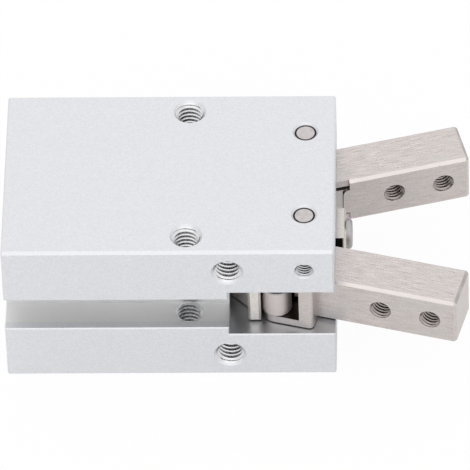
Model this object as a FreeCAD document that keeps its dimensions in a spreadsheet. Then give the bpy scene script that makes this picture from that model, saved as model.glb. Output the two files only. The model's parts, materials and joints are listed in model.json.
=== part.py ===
"""Pneumatic angular gripper with two fingers, as an assembly of its separate pieces.

The origin is the centre of the rear mounting face, on the axis of the bore.
X points forward to the fingers, Z is up, and the near side is the side at -Y.
The rest pose has both fingers partly open, at open_angle from parallel.
"""
import FreeCAD, Part
import os
import re

import Sketcher

# Driving sizes in millimetres, angles in degrees.
SIZES = [
    # Aluminium body
    ("body_width", 30.6, "width of the body across the fingers"),
    ("body_height", 24.0, "height of the body"),
    ("body_edge", 0.4, "chamfer on the outer edges of the body"),
    ("end_edge", 0.2, "chamfer round the two ends of the body"),
    ("edge_break", 0.15, "edge break round the window and the groove"),
    ("window_depth", 14.6, "yoke window, from the front face back"),
    ("window_height", 8.05, "height of the yoke window"),
    ("relief_depth", 0.8, "pocket in the rear wall of the window for the pusher"),
    ("relief_width", 19.0, "width of that pocket"),
    ("groove_mouth", 5.45, "switch groove, height at its mouth"),
    ("groove_inner", 6.1, "switch groove, height behind its lips"),
    ("groove_lip", 1.3, "thickness of the lips of the groove"),
    ("groove_depth", 5.2, "depth of the switch groove"),
    # Threaded holes, drawn at their major diameter
    ("mount_thread", 4.0, "mounting thread of the body"),
    ("mount_sink", 4.5, "countersink of the mounting threads"),
    ("top_mount_setback", 20.1, "top holes, behind the front face"),
    ("top_mount_pitch", 24.0, "spacing of the two top holes"),
    ("side_mount_setback", 14.55, "side holes, behind the front face"),
    ("side_mount_pitch", 16.0, "spacing of the two side holes"),
    ("side_mount_depth", 6.5, "depth of the side holes"),
    ("rear_mount_width", 24.0, "rear holes, spacing across"),
    ("rear_mount_height", 16.0, "rear holes, spacing up"),
    ("rear_mount_depth", 8.0, "depth of the rear holes"),
    ("port_thread", 5.0, "thread of the air ports"),
    ("port_sink", 5.5, "countersink of the air ports"),
    ("port_depth", 5.0, "depth of the port threads"),
    ("port_passage", 1.6, "drilled passage from a port to the bore"),
    ("port_land", 0.1, "land between the cap and the rear passage"),
    ("front_port_setback", 5.4, "front port, behind the end of the bore"),
    # Bore and its closure
    ("bore_diameter", 16.0, "cylinder bore"),
    ("bore_depth", 24.6, "rear face to the end of the bore"),
    ("cap_bore", 17.0, "wider bore that takes the end cap"),
    ("cap_seat", 7.2, "rear face to the shoulder of the cap"),
    ("ring_groove_diameter", 18.2, "groove of the retaining ring"),
    ("ring_groove_inset", 1.4, "rear face to the ring groove"),
    ("ring_groove_width", 1.1, "width of the ring groove"),
    ("ring_width", 1.4, "radial width of the retaining ring"),
    ("ring_opening", 40.0, "angle of the gap in the retaining ring"),
    ("ring_lug", 2.4, "diameter of the plier lugs of the ring"),
    ("ring_lug_hole", 1.0, "plier hole in a lug"),
    ("ring_lug_angle", 8.0, "lug behind the end of the ring"),
    ("cap_dish", 1.2, "depth of the dish in the cap"),
    ("cap_dish_diameter", 9.0, "diameter of that dish"),
    ("oring_section", 1.2, "section of the cap O-ring"),
    ("oring_squeeze", 0.15, "squeeze of the O-rings in their grooves"),
    ("oring_inset", 1.6, "cap seat to the middle of its O-ring"),
    ("rear_bumper_diameter", 9.0, "rubber bumper on the cap"),
    ("rear_bumper_thickness", 0.8, "its thickness"),
    ("front_bumper_diameter", 12.0, "rubber bumper round the rod"),
    ("front_bumper_thickness", 0.9, "its thickness"),
    ("seal_pocket_diameter", 10.0, "pocket of the rod seal"),
    ("seal_pocket_depth", 2.8, "depth of that pocket"),
    ("retainer_thickness", 0.8, "washer that holds the rod seal"),
    ("rod_bush_diameter", 8.0, "outside of the rod bush"),
    ("rod_bush_length", 2.5, "wall that the rod bush fills, ahead of the seal"),
    # Fits
    ("fit_gap", 0.01, "radial gap of pieces that are pressed or located"),
    ("run_gap", 0.02, "radial gap of pieces that turn or slide"),
    ("slide_gap", 0.1, "gap beside the piston"),
    ("stop_gap", 0.1, "gap left at each end of the stroke"),
    ("lip_thickness", 0.5, "thickness of a seal lip"),
    ("lip_depth", 0.9, "depth of the notch between two seal lips"),
    ("bumper_edge", 0.15, "chamfer on the rubber bumpers"),
    ("rod_clearance", 0.3, "gap between the rod and the pieces that it only passes"),
    # Piston and rod
    ("piston_head", 9.0, "length of the piston head"),
    ("piston_hub_diameter", 10.0, "hub in front of the head"),
    ("seal_groove_diameter", 12.0, "groove of the piston seal"),
    ("seal_groove_inset", 1.2, "rear of the piston to its seal"),
    ("seal_groove_width", 2.0, "width of the seal groove"),
    ("magnet_groove_diameter", 13.2, "groove of the magnet ring"),
    ("magnet_groove_inset", 4.1, "rear of the piston to the magnet"),
    ("magnet_groove_width", 2.2, "width of the magnet groove"),
    ("wear_groove_diameter", 14.4, "groove of the wear ring"),
    ("wear_groove_inset", 7.2, "rear of the piston to the wear ring"),
    ("wear_groove_width", 1.2, "width of the wear groove"),
    ("nut_width", 7.0, "piston nut, across flats"),
    ("nut_thickness", 2.2, "thickness of the nut"),
    ("nut_recess_diameter", 9.0, "recess of the nut in the piston"),
    ("nut_recess_depth", 2.8, "depth of that recess"),
    ("rod_diameter", 6.0, "piston rod"),
    ("spigot_diameter", 4.0, "threaded end of the rod in the piston"),
    ("rod_oring_section", 0.9, "O-ring between rod and piston"),
    # Centre pusher
    ("pusher_height", 7.6, "height of the rear bar"),
    ("pusher_span", 26.0, "rear bar, end to end"),
    ("bar_thickness", 1.72, "thickness of the rear bar"),
    ("bar_gap", 0.25, "rear bar to roller"),
    ("bar_edge", 0.3, "chamfer on the ends of the rear bar"),
    ("gusset_span", 20.7, "width of the gusset where it meets the rear bar"),
    ("pusher_stop_gap", 0.25, "gap behind the open pusher"),
    ("neck_width", 5.8, "neck between the fingers"),
    ("neck_height", 4.2, "height of the neck and the front bar"),
    ("nose_reach", 1.4, "nose of the neck, ahead of the front face"),
    ("nose_edge", 0.3, "chamfer on the nose"),
    ("front_bar_gap", 0.36, "front bar to roller"),
    ("front_bar_thickness", 1.5, "thickness of the front bar"),
    ("front_bar_reach", 2.0, "front bar, outboard of the pivot"),
    ("screw_head_diameter", 4.2, "head of the pusher screw"),
    ("screw_head_height", 0.85, "height of that head"),
    ("screw_head_round", 0.55, "rounding of that head"),
    ("screw_shank", 2.5, "thread of the pusher screw"),
    ("screw_bite", 4.0, "thread engaged in the rod"),
    ("screw_runout", 1.0, "hole in the rod past the end of the screw"),
    ("screw_socket", 1.5, "socket of the pusher screw, across flats"),
    ("screw_socket_depth", 0.5, "depth of that socket"),
    # Fingers
    ("pivot_setback", 4.1, "pivots behind the front face"),
    ("pivot_spacing", 16.0, "spacing of the two pivots"),
    ("open_angle", 15.0, "rest angle of a finger from parallel"),
    ("open_limit", 30.0, "angle of the open finger"),
    ("close_limit", 10.0, "angle of the closed finger, past parallel"),
    ("piston_lever", 3.56, "mean lever between piston travel and finger angle"),
    ("finger_height", 7.7, "height of a finger"),
    ("finger_width", 7.0, "width of the finger bar"),
    ("finger_offset", 0.3, "middle of the bar, outboard of the pivot"),
    ("finger_tip", 22.4, "pivot to tip"),
    ("finger_edge", 0.4, "chamfer on the finger bar"),
    ("finger_relief", 0.4, "step between the bar and the inner side of the clevis"),
    ("relief_end", 5.3, "pivot to that step"),
    ("finger_thread", 3.0, "attachment threads of a finger"),
    ("finger_sink", 0.1, "countersink of those threads"),
    ("finger_thread_pitch", 7.0, "spacing of the two threads"),
    ("finger_thread_inset", 3.75, "tip to the first thread"),
    ("clevis_radius", 1.85, "rounded end of the clevis, about the roller"),
    ("clevis_back", 3.5, "rear of the clevis behind the pivot, on its inner side"),
    ("clevis_round", 1.5, "rounding of the inner rear corners"),
    ("clevis_rail", 1.9, "straight rail of the clevis, inboard of the roller"),
    ("tie_front", 2.65, "pivot to the front of the tie wall"),
    ("tie_back", 0.7, "pivot to the rear of the tie wall"),
    ("tie_round", 0.7, "rounded corner of the tie wall"),
    ("tie_inner", 4.3, "inboard edge of the tie wall"),
    ("slot_height", 5.4, "slot between the two flanges of a clevis"),
    ("slot_wall", 0.9, "wall left outside the slot, in the bar"),
    ("slot_core", 5.3, "pivot to the core of the bar, at its inner side"),
    ("slot_end", 6.3, "pivot to the far end of the slot"),
    ("slot_bend", 1.2, "outboard reach of the corner of the core"),
    ("slot_round", 0.8, "rounding of that corner"),
    ("core_height", 4.4, "height of the core between the flanges"),
    ("core_start", 3.0, "pivot to the rear end of the core"),
    ("core_step", 0.3, "step from the inner face of the bar down to the core"),
    ("tongue_start", 4.4, "pivot to the end of the inner face of the bar, on the core"),
    ("tongue_round", 0.8, "rounding of that end"),
    ("tie_web", 0.45, "web between the tie wall and the bar"),
    ("roller_back", 2.9, "roller behind the pivot, along the finger"),
    ("roller_out", 4.2, "roller outboard of the pivot, across the finger"),
    ("roller_diameter", 4.0, "side roller"),
    ("roller_length", 4.25, "its length"),
    ("roller_rest", 0.05, "gap between it and the lower flange"),
    ("roller_edge", 0.15, "chamfer on its ends"),
    ("roller_pin_diameter", 2.0, "pin of the roller"),
    ("roller_pin_length", 7.4, "length of that pin"),
    ("roller_pin_edge", 0.2, "chamfer on its ends"),
    ("pin_diameter", 3.0, "pivot pin"),
    ("pin_recess", 0.3, "pin end below the face of the body"),
    ("pin_edge", 0.25, "chamfer on the pin ends"),
    ("pin_sink", 3.6, "countersink of the pin holes"),
    ("pivot_bush_diameter", 3.9, "outside of a pivot bush"),
    ("set_screw_thread", 2.5, "set screw that locks a pivot pin"),
    ("set_screw_height", 8.2, "height of the set screw above the bore axis"),
    ("set_screw_sink", 2.8, "countersink of its hole"),
    ("set_screw_recess", 2.5, "screw end below the side face"),
    ("set_screw_socket", 1.3, "its hexagon socket, across flats"),
    ("set_screw_socket_depth", 1.2, "depth of that socket"),
    ("set_screw_point", 0.4, "chamfer at the point of the set screw"),
    ("cut_margin", 1.0, "how far a cutter reaches past a face"),
]

# Places worked out from the driving sizes.
BUSH_START = "(bore_depth + seal_pocket_depth)"
PARTITION_FRONT = f"({BUSH_START} + rod_bush_length)"
WINDOW_START = f"({PARTITION_FRONT} + relief_depth)"
FRONT_FACE = f"({WINDOW_START} + window_depth)"
PIVOT_X = f"({FRONT_FACE} - pivot_setback)"
PIVOT_Y = "(pivot_spacing / 2)"
OPEN_TRAVEL = "((open_limit - open_angle) * pi / 180 * piston_lever)"
CLOSE_TRAVEL = "((open_angle + close_limit) * pi / 180 * piston_lever)"
ROLLER_X = f"({PIVOT_X} - roller_back * cos(open_angle) - roller_out * sin(open_angle))"
ROLLER_Y = "(pivot_spacing / 2 - roller_back * sin(open_angle) + roller_out * cos(open_angle))"
CAP_REAR = "(ring_groove_inset + ring_groove_width)"
PISTON_REAR = f"(cap_seat + rear_bumper_thickness + stop_gap + {OPEN_TRAVEL})"
HUB_FRONT = f"(bore_depth - front_bumper_thickness - stop_gap - {CLOSE_TRAVEL})"
PUSHER_REAR = f"({PARTITION_FRONT} + pusher_stop_gap + {OPEN_TRAVEL})"
BAR_FRONT = f"({ROLLER_X} - roller_diameter / 2 - bar_gap)"
NOSE_FRONT = f"({FRONT_FACE} + nose_reach)"
HALF_WIDTH = "(body_width / 2)"
HALF_HEIGHT = "(body_height / 2)"
TOP_MOUNT_X = f"({FRONT_FACE} - top_mount_setback)"
SIDE_MOUNT_X = f"({FRONT_FACE} - side_mount_setback)"
REAR_PORT_X = "(cap_seat + port_land + port_passage / 2)"
FRONT_PORT_X = "(bore_depth - front_port_setback)"
FINGER_OUTER = "(finger_width / 2 + finger_offset)"
FINGER_INNER = "(finger_width / 2 - finger_offset)"
SIDES = {"near": -1, "far": 1}

doc = FreeCAD.newDocument("angular_gripper")
sheet = doc.addObject("Spreadsheet::Sheet", "Sizes")
for row, (alias, size, note) in enumerate(SIZES, start=1):
    sheet.set(f"A{row}", note)
    sheet.set(f"B{row}", str(size))
    sheet.setAlias(f"B{row}", alias)
doc.recompute()

X_AXIS = FreeCAD.Vector(1, 0, 0)
Y_AXIS = FreeCAD.Vector(0, 1, 0)
Z_AXIS = FreeCAD.Vector(0, 0, 1)
NODES = []


def formula(text):
    """The text with every size name turned into a reference to its cell."""
    return re.sub(r"\b([a-z]+(?:_[a-z]+)+)\b", r"Sizes.\1", str(text))


def value(text):
    """The present value of a formula, in millimetres or degrees."""
    return float(sheet.evalExpression(formula(text)))


def bind(thing, **formulas):
    """Tie properties of an object to formulas of the sheet."""
    for name, text in formulas.items():
        thing.setExpression(name, formula(text))
    return thing


def place(thing, x="0", y="0", z="0", turn=None, axis=Z_AXIS):
    """Tie the place of an object, and its turn about an axis, to formulas."""
    if turn is not None:
        thing.Placement.Rotation = FreeCAD.Rotation(axis, value(turn))
        thing.setExpression("Placement.Rotation.Angle", formula(turn))
    for letter, text in zip("xyz", (x, y, z)):
        thing.setExpression(f"Placement.Base.{letter}", formula(text))
    return thing


def add(kind, name):
    """A new object of the document."""
    return doc.addObject(kind, name)


def finish(thing, node):
    """Name an object as a sub-part of the gripper."""
    thing.Label = node
    NODES.append(thing)
    return thing


def origin_plane(body, role):
    """One of a body's own origin planes."""
    return next(item for item in body.Origin.OriginFeatures if item.Role == role)


def sketch(body, name, role, corners):
    """A closed outline on an origin plane of a body, its corners given as pairs of formulas."""
    drawing = body.newObject("Sketcher::SketchObject", name)
    drawing.AttachmentSupport = [(origin_plane(body, role), "")]
    drawing.MapMode = "FlatFace"
    spots = [FreeCAD.Vector(value(x), value(y), 0) for x, y in corners]
    count = len(spots)
    for number in range(count):
        drawing.addGeometry(Part.LineSegment(spots[number], spots[(number + 1) % count]))
    for number in range(count):
        drawing.addConstraint(Sketcher.Constraint("Coincident", number, 2, (number + 1) % count, 1))
    for number, corner in enumerate(corners):
        for kind, text in zip(("DistanceX", "DistanceY"), corner):
            rule = Sketcher.Constraint(kind, -1, 1, number, 1, value(text))
            index = drawing.addConstraint(rule)
            drawing.setExpression(f"Constraints[{index}]", formula(text))
    return drawing


def plate(body, name, corners, height, role="XY_Plane"):
    """A pad of an outline, to both sides of its plane."""
    pad = body.newObject("PartDesign::Pad", name)
    pad.Profile = sketch(body, name + "_outline", role, corners)
    pad.Midplane = True
    bind(pad, Length=height)
    doc.recompute()
    return pad


def slot(body, name, corners, height, role="XY_Plane"):
    """A pocket of an outline, to both sides of its plane."""
    before = body.Shape.Volume
    pocket = body.newObject("PartDesign::Pocket", name)
    pocket.Profile = sketch(body, name + "_outline", role, corners)
    pocket.Midplane = True
    bind(pocket, Length=height)
    doc.recompute()
    if body.Shape.Volume >= before:
        raise RuntimeError(f"{name} cuts nothing")
    return pocket


def turned(name, corners, axis="X"):
    """A turned piece: a half section revolved about its axis.

    The corners are along and out from X, or out from and along Z.
    """
    body = add("PartDesign::Body", name)
    role, line = {"X": ("XY_Plane", "H_Axis"), "Z": ("XZ_Plane", "V_Axis")}[axis]
    drawing = sketch(body, name + "_section", role, corners)
    turn = body.newObject("PartDesign::Revolution", name + "_turn")
    turn.Profile = drawing
    turn.ReferenceAxis = (drawing, [line])
    turn.Angle = 360
    doc.recompute()
    return body


def edges_where(shape, test):
    """Names of the edges of a shape that pass a test."""
    return [f"Edge{number}" for number, edge in enumerate(shape.Edges, start=1) if test(edge)]


def dress(body, kind, name, base, names, size):
    """A fillet or a chamfer on named edges of a feature."""
    feature = body.newObject(f"PartDesign::{kind}", name)
    feature.Base = (base, names)
    bind(feature, **{{"Fillet": "Radius", "Chamfer": "Size"}[kind]: size})
    doc.recompute()
    return feature


def near_value(number, text):
    """Whether a number agrees with a formula."""
    return abs(number - value(text)) < 1e-4


def rod(name, diameter, length, x="0", y="0", z="0", axis=Z_AXIS):
    """A plain round bar or cutter that starts at a point and runs along an axis."""
    bar = add("Part::Cylinder", name)
    bind(bar, Radius=f"({diameter}) / 2", Height=length)
    bar.Placement.Rotation = FreeCAD.Rotation(Z_AXIS, axis)
    return place(bar, x, y, z)


def sink(name, spot, axis, diameter):
    """A right-angled countersink in a face at a spot, along an axis."""
    cone = add("Part::Cone", name + "_sink")
    bind(cone, Radius1=f"({diameter}) / 2", Radius2="0", Height=f"({diameter}) / 2")
    cone.Placement.Rotation = FreeCAD.Rotation(Z_AXIS, axis)
    return place(cone, *spot)


def drill(name, spot, axis, diameter, depth, sink_diameter):
    """Cutters of one countersunk hole that enters a face at a spot, along an axis."""
    start = [f"({text}) - ({part:g}) * cut_margin" for text, part in zip(spot, axis)]
    hole = rod(name, diameter, f"({depth}) + cut_margin", *start, axis=axis)
    return [hole, sink(name, spot, axis, sink_diameter)]


def cut(name, base, cutters):
    """A piece with cutters taken out of it."""
    tool = cutters[0]
    if len(cutters) > 1:
        tool = add("Part::MultiFuse", name + "_cutters")
        tool.Shapes = cutters
    result = add("Part::Cut", name)
    result.Base = base
    result.Tool = tool
    return result


def hexagon(name, across, height, x="0", y="0", z="0", axis=X_AXIS):
    """A hexagonal prism that starts at a point and runs along an axis."""
    prism = add("Part::Prism", name)
    prism.Polygon = 6
    bind(prism, Circumradius=f"({across}) / sqrt(3)", Height=height)
    prism.Placement.Rotation = FreeCAD.Rotation(Z_AXIS, axis)
    return place(prism, x, y, z)


def rectangle(x_low, x_high, y_low, y_high):
    """The four corners of an upright rectangle."""
    return [(x_low, y_low), (x_high, y_low), (x_high, y_high), (x_low, y_high)]


def build_body():
    """The aluminium body: bore, yoke window, switch groove, ports and threaded holes."""
    blank = add("PartDesign::Body", "body_blank")
    block = blank.newObject("PartDesign::Pad", "block")
    block.Profile = sketch(
        blank, "block_outline", "YZ_Plane",
        rectangle(f"-{HALF_WIDTH}", HALF_WIDTH, f"-{HALF_HEIGHT}", HALF_HEIGHT))
    bind(block, Length=FRONT_FACE)
    doc.recompute()
    long_edges = edges_where(block.Shape, lambda edge: near_value(edge.BoundBox.XMax, FRONT_FACE)
                             and near_value(edge.BoundBox.XMin, 0))
    long = dress(blank, "Chamfer", "long_edges", block, long_edges, "body_edge")
    ends = edges_where(long.Shape, lambda edge: near_value(edge.BoundBox.XMax, edge.BoundBox.XMin))
    dress(blank, "Chamfer", "end_edges", long, ends, "end_edge")

    bore = blank.newObject("PartDesign::Groove", "bore")
    section = sketch(blank, "bore_section", "XY_Plane", [
        ("-cut_margin", "0"),
        ("-cut_margin", "cap_bore / 2"),
        ("ring_groove_inset", "cap_bore / 2"),
        ("ring_groove_inset", "ring_groove_diameter / 2"),
        (CAP_REAR, "ring_groove_diameter / 2"),
        (CAP_REAR, "cap_bore / 2"),
        ("cap_seat", "cap_bore / 2"),
        ("cap_seat", "bore_diameter / 2"),
        ("bore_depth", "bore_diameter / 2"),
        ("bore_depth", "seal_pocket_diameter / 2"),
        (BUSH_START, "seal_pocket_diameter / 2"),
        (BUSH_START, "rod_bush_diameter / 2"),
        (WINDOW_START, "rod_bush_diameter / 2"),
        (WINDOW_START, "0"),
    ])
    bore.Profile = section
    bore.ReferenceAxis = (section, ["H_Axis"])
    bore.Angle = 360
    doc.recompute()

    slot(blank, "window", rectangle(
        WINDOW_START, f"{FRONT_FACE} + cut_margin", "-window_height / 2", "window_height / 2"),
        "body_width + 2 * cut_margin", "XZ_Plane")
    slot(blank, "pusher_relief", rectangle(
        PARTITION_FRONT, f"{WINDOW_START} + cut_margin", "-window_height / 2", "window_height / 2"),
        "relief_width", "XZ_Plane")
    cut_groove(blank)
    break_edges(blank)

    cutters = []
    for side, sign in SIDES.items():
        mount_y = f"{sign} * top_mount_pitch / 2"
        face_y = f"{sign} * {HALF_WIDTH}"
        inward = -sign * Y_AXIS
        cutters += drill(
            f"{side}_top_mount", (TOP_MOUNT_X, mount_y, HALF_HEIGHT), -Z_AXIS,
            "mount_thread", "body_height + cut_margin", "mount_sink")
        cutters.append(sink(
            f"{side}_bottom_mount", (TOP_MOUNT_X, mount_y, f"-{HALF_HEIGHT}"), Z_AXIS, "mount_sink"))
        cutters += drill(
            f"{side}_set_screw_hole", (PIVOT_X, face_y, "set_screw_height"), inward,
            "set_screw_thread", f"{HALF_WIDTH} - {PIVOT_Y}", "set_screw_sink")
        for level, rise in (("upper", 1), ("lower", -1)):
            cutters += drill(
                f"{side}_{level}_pin_hole",
                (PIVOT_X, f"{sign} * {PIVOT_Y}", f"{rise} * {HALF_HEIGHT}"), -rise * Z_AXIS,
                "pin_diameter + 2 * fit_gap", f"{HALF_HEIGHT} - finger_height / 2", "pin_sink")
            cutters += drill(
                f"{side}_{level}_side_mount",
                (SIDE_MOUNT_X, face_y, f"{rise} * side_mount_pitch / 2"), inward,
                "mount_thread", "side_mount_depth", "mount_sink")
            cutters += drill(
                f"{side}_{level}_rear_mount",
                ("0", f"{sign} * rear_mount_width / 2", f"{rise} * rear_mount_height / 2"), X_AXIS,
                "mount_thread", "rear_mount_depth", "mount_sink")
    for end, port_x in (("rear", REAR_PORT_X), ("front", FRONT_PORT_X)):
        cutters += drill(
            f"{end}_port", (port_x, HALF_WIDTH, "0"), -Y_AXIS, "port_thread", "port_depth", "port_sink")
        cutters.append(rod(
            f"{end}_passage", "port_passage", HALF_WIDTH, port_x, HALF_WIDTH, "0", -Y_AXIS))
    finish(cut("body", blank, cutters), "body")


def cut_groove(blank):
    """The switch groove along the near side, with a lip above and below its mouth."""
    mouth = f"-{HALF_WIDTH}"
    lip = f"({mouth} + groove_lip)"
    before = blank.Shape.Volume
    groove = blank.newObject("PartDesign::Pocket", "switch_groove")
    groove.Profile = sketch(blank, "switch_groove_outline", "YZ_Plane", [
        (f"{mouth} - cut_margin", "-groove_mouth / 2"),
        (lip, "-groove_mouth / 2"),
        (lip, "-groove_inner / 2"),
        (f"{mouth} + groove_depth", "-groove_inner / 2"),
        (f"{mouth} + groove_depth", "groove_inner / 2"),
        (lip, "groove_inner / 2"),
        (lip, "groove_mouth / 2"),
        (f"{mouth} - cut_margin", "groove_mouth / 2"),
    ])
    groove.Reversed = True
    bind(groove, Length=WINDOW_START)
    doc.recompute()
    if blank.Shape.Volume >= before:
        raise RuntimeError("the switch groove cuts nothing")


def break_edges(blank):
    """The fine edge break round the mouths of the window and of the groove."""
    def on_mouth(edge):
        box = edge.BoundBox
        flat = near_value(abs(box.YMin), HALF_WIDTH) and near_value(box.YMax, box.YMin)
        inside = max(abs(box.ZMin), abs(box.ZMax)) < value("window_height / 2") + 1e-4
        return flat and inside
    base = blank.Tip
    dress(blank, "Chamfer", "mouth_edges", base, edges_where(base.Shape, on_mouth), "edge_break")


def ring(name, start, end, inside, outside):
    """A plain turned ring about X, between two places and two diameters."""
    return turned(name, rectangle(start, end, f"({inside}) / 2", f"({outside}) / 2"))


def oring(name, middle, inside, section):
    """An O-ring about X whose hole and section have the given diameters."""
    torus = add("Part::Torus", name)
    bind(torus, Radius1=f"(({inside}) + ({section})) / 2", Radius2=f"({section}) / 2")
    torus.Placement.Rotation = FreeCAD.Rotation(Z_AXIS, X_AXIS)
    return finish(place(torus, middle), name)


def build_rear_closure():
    """End cap, its O-ring, the retaining ring and the rear bumper."""
    section = "(oring_section - oring_squeeze)"
    groove_bottom = f"(cap_bore / 2 - {section} - 2 * fit_gap)"
    groove_middle = "(cap_seat - oring_inset)"
    finish(turned("end_cap", [
        (f"{CAP_REAR} + cap_dish", "0"),
        (f"{CAP_REAR} + cap_dish", "cap_dish_diameter / 2"),
        (CAP_REAR, "cap_dish_diameter / 2"),
        (CAP_REAR, "cap_bore / 2 - fit_gap"),
        (f"{groove_middle} - oring_section / 2", "cap_bore / 2 - fit_gap"),
        (f"{groove_middle} - oring_section / 2", groove_bottom),
        (f"{groove_middle} + oring_section / 2", groove_bottom),
        (f"{groove_middle} + oring_section / 2", "cap_bore / 2 - fit_gap"),
        ("cap_seat", "cap_bore / 2 - fit_gap"),
        ("cap_seat", "0"),
    ]), "end_cap")
    oring("cap_oring", groove_middle, f"2 * {groove_bottom} + 2 * fit_gap", section)
    finish(place(turned("rear_bumper", [
        ("0", "0"),
        ("0", "rear_bumper_diameter / 2"),
        ("rear_bumper_thickness - bumper_edge", "rear_bumper_diameter / 2"),
        ("rear_bumper_thickness", "rear_bumper_diameter / 2 - bumper_edge"),
        ("rear_bumper_thickness", "0"),
    ]), "cap_seat"), "rear_bumper")
    build_retaining_ring()


def build_retaining_ring():
    """A sprung ring, open at one place, with a holed lug at each end for pliers."""
    outside = "(ring_groove_diameter - 2 * fit_gap)"
    inside = f"({outside} - 2 * ring_width)"
    thickness = "(ring_groove_width - 2 * fit_gap)"
    hoop = rod("ring_hoop", outside, thickness)
    bind(hoop, Angle="360 - ring_opening")
    band = cut("ring_band", hoop, [rod("ring_inside", inside, thickness)])
    pieces = [band]
    holes = []
    for number, angle in enumerate(("ring_lug_angle", "360 - ring_opening - ring_lug_angle")):
        spot = (f"{inside} / 2 * cos({angle})", f"{inside} / 2 * sin({angle})")
        pieces.append(rod(f"ring_lug_{number}", "ring_lug", thickness, *spot))
        holes.append(rod(f"ring_hole_{number}", "ring_lug_hole", thickness, *spot))
    whole = add("Part::MultiFuse", "ring_with_lugs")
    whole.Shapes = pieces
    clip = cut("retaining_ring", whole, holes)
    clip.Placement.Rotation = FreeCAD.Rotation(Z_AXIS, X_AXIS)
    finish(place(clip, "ring_groove_inset + fit_gap"), "retaining_ring")


def build_rod_guide():
    """Front bumper, seal washer, rod seal and rod bush in the wall ahead of the bore."""
    passing = "rod_diameter + 2 * rod_clearance"
    seal_start = "(bore_depth + retainer_thickness)"
    pocket = "(seal_pocket_diameter - 2 * fit_gap)"
    running = "(rod_diameter + 2 * run_gap)"
    finish(turned("front_bumper", [
        ("bore_depth", f"({passing}) / 2"),
        ("bore_depth", "front_bumper_diameter / 2"),
        ("bore_depth - front_bumper_thickness + bumper_edge", "front_bumper_diameter / 2"),
        ("bore_depth - front_bumper_thickness", "front_bumper_diameter / 2 - bumper_edge"),
        ("bore_depth - front_bumper_thickness", f"({passing}) / 2"),
    ]), "front_bumper")
    finish(ring("seal_retainer", "bore_depth", seal_start, passing, pocket), "seal_retainer")
    finish(turned("rod_seal", [
        (seal_start, f"{running} / 2"),
        (BUSH_START, f"{running} / 2"),
        (BUSH_START, f"{pocket} / 2"),
        (seal_start, f"{pocket} / 2"),
        (seal_start, f"{pocket} / 2 - lip_thickness"),
        (f"{seal_start} + lip_depth", f"({pocket} + {running}) / 4"),
        (seal_start, f"{running} / 2 + lip_thickness"),
    ]), "rod_seal")
    finish(ring(
        "rod_bush", f"{BUSH_START} + fit_gap", PARTITION_FRONT, running, "rod_bush_diameter - 2 * fit_gap"),
        "rod_bush")


def build_piston():
    """The piston with its seal, magnet, wear ring, nut and small O-ring."""
    outside = "(bore_diameter / 2 - slide_gap)"
    running = "(bore_diameter / 2 - run_gap)"
    hub_end = f"({HUB_FRONT} - {PISTON_REAR})"
    spigot = "(spigot_diameter / 2 + fit_gap)"
    section = "(rod_oring_section - oring_squeeze)"
    corners = [("0", "nut_recess_diameter / 2"), ("0", outside)]
    for groove in ("seal", "magnet", "wear"):
        start = f"{groove}_groove_inset"
        end = f"{groove}_groove_inset + {groove}_groove_width"
        bottom = f"{groove}_groove_diameter / 2"
        corners += [(start, outside), (start, bottom), (end, bottom), (end, outside)]
    corners += [
        ("piston_head", outside),
        ("piston_head", "piston_hub_diameter / 2"),
        (hub_end, "piston_hub_diameter / 2"),
        (hub_end, f"{spigot} + {section} + fit_gap"),
        (f"{hub_end} - rod_oring_section", f"{spigot} + {section} + fit_gap"),
        (f"{hub_end} - rod_oring_section", spigot),
        ("nut_recess_depth", spigot),
        ("nut_recess_depth", "nut_recess_diameter / 2"),
    ]
    finish(place(turned("piston", corners), PISTON_REAR), "piston")
    oring("rod_oring", f"{HUB_FRONT} - rod_oring_section / 2", f"2 * {spigot}", section)

    low = "seal_groove_inset + fit_gap"
    high = "seal_groove_inset + seal_groove_width - fit_gap"
    finish(place(turned("piston_seal", [
        (low, "seal_groove_diameter / 2 + fit_gap"),
        (high, "seal_groove_diameter / 2 + fit_gap"),
        (high, running),
        (f"{high} - lip_thickness", running),
        ("seal_groove_inset + seal_groove_width / 2", f"{running} - lip_depth"),
        (f"{low} + lip_thickness", running),
        (low, running),
    ]), PISTON_REAR), "piston_seal")
    for node, groove, reach in (("magnet_ring", "magnet", outside), ("wear_ring", "wear", running)):
        finish(place(ring(
            node, f"{groove}_groove_inset + fit_gap",
            f"{groove}_groove_inset + {groove}_groove_width - fit_gap",
            f"{groove}_groove_diameter + 2 * fit_gap", f"2 * {reach}"), PISTON_REAR), node)

    blank = hexagon("nut_blank", "nut_width", "nut_thickness")
    hole = rod("nut_hole", f"2 * {spigot}", "nut_thickness", axis=X_AXIS)
    nut = cut("piston_nut", blank, [hole])
    finish(place(nut, f"{PISTON_REAR} + nut_recess_depth - nut_thickness"), "piston_nut")


def build_rod():
    """The piston rod, threaded into the nut at the rear and bored for the screw in front."""
    spigot_start = f"({PISTON_REAR} + nut_recess_depth - nut_thickness)"
    bottom = f"({PUSHER_REAR} - screw_bite - screw_runout)"
    finish(turned("piston_rod", [
        (spigot_start, "0"),
        (spigot_start, "spigot_diameter / 2"),
        (HUB_FRONT, "spigot_diameter / 2"),
        (HUB_FRONT, "rod_diameter / 2"),
        (PUSHER_REAR, "rod_diameter / 2"),
        (PUSHER_REAR, "screw_shank / 2 + fit_gap"),
        (bottom, "screw_shank / 2 + fit_gap"),
        (bottom, "0"),
    ]), "piston_rod")


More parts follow.
